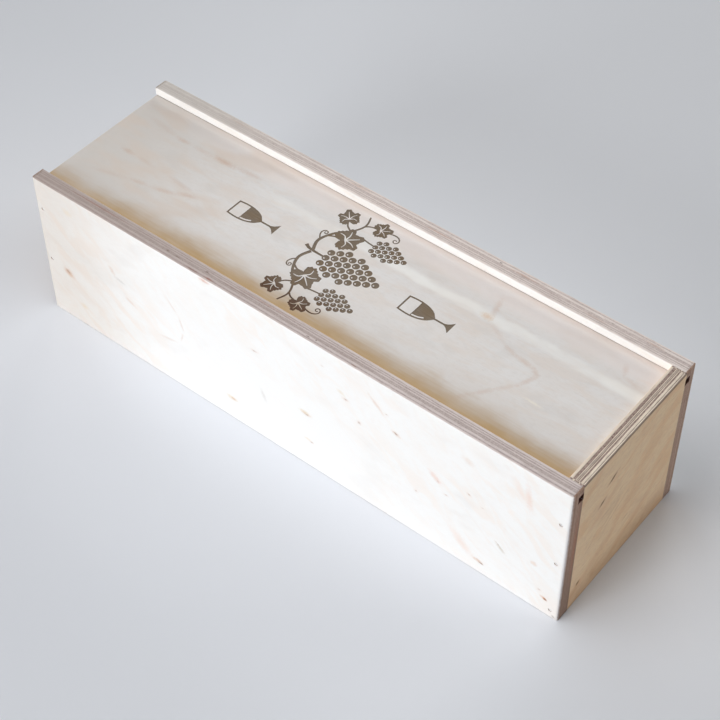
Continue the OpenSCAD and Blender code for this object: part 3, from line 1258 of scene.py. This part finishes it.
def lid_wood():
    panel = Panel(Z, X, Y, LID_HI.z, -1)
    figure = Figure(lean=5, flames=0.45, lines=0.08, fibres=0.1, fineness=1.4, shortness=1.5)
    return plywood("lid_birch", panel, LID_VENEERS, LID_TONES, figure, LID_EDGES, 101, LID_MARKS, lid_shades)


# ---- studio ----

CAMERA_AT = Vector((0.419, -0.5049, 0.7468))
CAMERA_AIM = Vector((-0.0108, 0.0241, 0))
CAMERA_ROLL = -0.473
LENS = 86.32
SENSOR = 36

FLOOR_REACH = 12
LIT_SPOT = Vector((0, 0, 0.05))

# Each lamp's name, its angle, elevation and distance round the box, its width, power and colour
LAMPS = (
    ("front_window", (-10, 14, 2.5), 1.5, 41.3, (0.97, 0.985, 1)),
    ("back_right", (140, 16, 2.5), 1.5, 18.3, (1, 0.985, 0.955)),
    ("high_front", (-20, 70, 0.8), 0.48, 2.12, (1, 0.99, 0.99)),
    ("high_right", (45, 70, 0.8), 0.48, 0.87, (0.99, 1, 0.99)),
    ("left_back", (-120, 40, 1.6), 0.5, 2.28, (1, 1, 1)),
    ("back_left", (-160, 16, 2.5), 1.5, 22.1, (1, 0.99, 0.965)),
)


def camera():
    """The photo's camera, as recovered from the box's corners."""
    data = bpy.data.cameras.new("camera")
    data.lens = LENS
    data.sensor_width = SENSOR
    data.sensor_fit = "HORIZONTAL"
    obj = linked("camera", data)
    level = (CAMERA_AIM - CAMERA_AT).to_track_quat("-Z", "Y")
    obj.rotation_mode = "QUATERNION"
    obj.rotation_quaternion = level @ Quaternion((0, 0, 1), math.radians(CAMERA_ROLL))
    obj.location = CAMERA_AT
    bpy.context.scene.camera = obj


def floor():
    """A pale sheet, painted a little lighter towards the back and darker at the front: painted light and
    shade.
    """
    corners = [(-1, -1), (1, -1), (1, 1), (-1, 1)]
    verts = [(x * FLOOR_REACH, y * FLOOR_REACH, 0) for x, y in corners]
    obj = mesh_object("floor", verts, [[0, 1, 2, 3]])
    g = material("floor")
    y = g.split(g.coordinate("Object"))[1]
    # painted light towards the back, painted shade towards the front
    colour = g.layered(
        rgb(233, 236, 242),
        (g.rise(y, 0.12, 0.34), rgb(241, 244, 250)),
        (g.fade(y, -0.3, -0.14), rgb(227, 230, 236)),
    )
    obj.data.materials.append(g.finish(colour, 0.8, 0.1))


def around(angle, elevation, distance):
    """A place round the box: angle from the front towards the closed end, in degrees."""
    a, e = math.radians(angle), math.radians(elevation)
    return distance * Vector((math.sin(a) * math.cos(e), -math.cos(a) * math.cos(e), math.sin(e)))


def area_light(name, at, size, power, colour):
    """A round lamp that shines at the box."""
    data = bpy.data.lights.new(name, "AREA")
    data.shape = "DISK"
    data.size = size
    data.energy = power
    data.color = colour
    obj = linked(name, data)
    obj.location = at
    obj.rotation_euler = (LIT_SPOT - at).to_track_quat("-Z", "Y").to_euler()


def world():
    """A little even light, and a pale backdrop where the camera or a reflection looks past the floor."""
    bpy.context.scene.world = bpy.data.worlds.new("world")
    g = Graph(bpy.context.scene.world)
    fill = g.tree.nodes["Background"]
    g.feed(fill.inputs["Color"], (0.93, 0.96, 1))
    g.feed(fill.inputs["Strength"], 0.005)
    backdrop = g.node("ShaderNodeBackground", {"Color": rgb(195, 199, 202)})
    by_camera = g.node("ShaderNodeLightPath", {}, "Is Camera Ray")
    by_reflection = g.node("ShaderNodeLightPath", {}, "Is Glossy Ray")
    seen = g.math("MAXIMUM", by_camera, by_reflection)
    light = g.node("ShaderNodeMixShader", {0: seen, 1: Value(g, fill.outputs[0]), 2: backdrop})
    g.feed(g.tree.nodes["World Output"].inputs["Surface"], light)


def studio():
    """Everything round the box: camera, floor, world and lamps."""
    bpy.context.scene.view_settings.view_transform = "Standard"
    camera()
    floor()
    world()
    for name, place, size, power, colour in LAMPS:
        area_light(name, around(*place), size, power, colour)


# ---- the model ----

def dress(obj, *materials):
    """Gives an object its materials in the order of its slots."""
    slots = [face.material_index for face in obj.data.polygons]
    obj.data.materials.clear()
    for surface in materials:
        obj.data.materials.append(surface)
    obj.data.polygons.foreach_set("material_index", slots if len(materials) > 1 else [0] * len(slots))


def main():
    studio()
    front = side_panel("front_panel", "front_side", 1, FRONT_CHIPS, FRONT_BRADS, 1)
    back = side_panel("back_panel", "back_side", -1, (), BACK_BRADS, 2)
    stop = end_panel("stop_panel", "stop_end", False, 3)
    sill = end_panel("open_panel", "open_end", True, 4)
    lid = lid_board()
    dress(front, front_wood())
    dress(back, back_wood())
    dress(stop, closed_end_wood())
    dress(sill, low_end_wood())
    dress(lid, lid_wood(), char())
    dress(frame["nodes"]["bottom"], bottom_wood())
    metal = steel()
    for node in FRONT_BRADS + BACK_BRADS:
        dress(frame["nodes"][node], metal)


main()
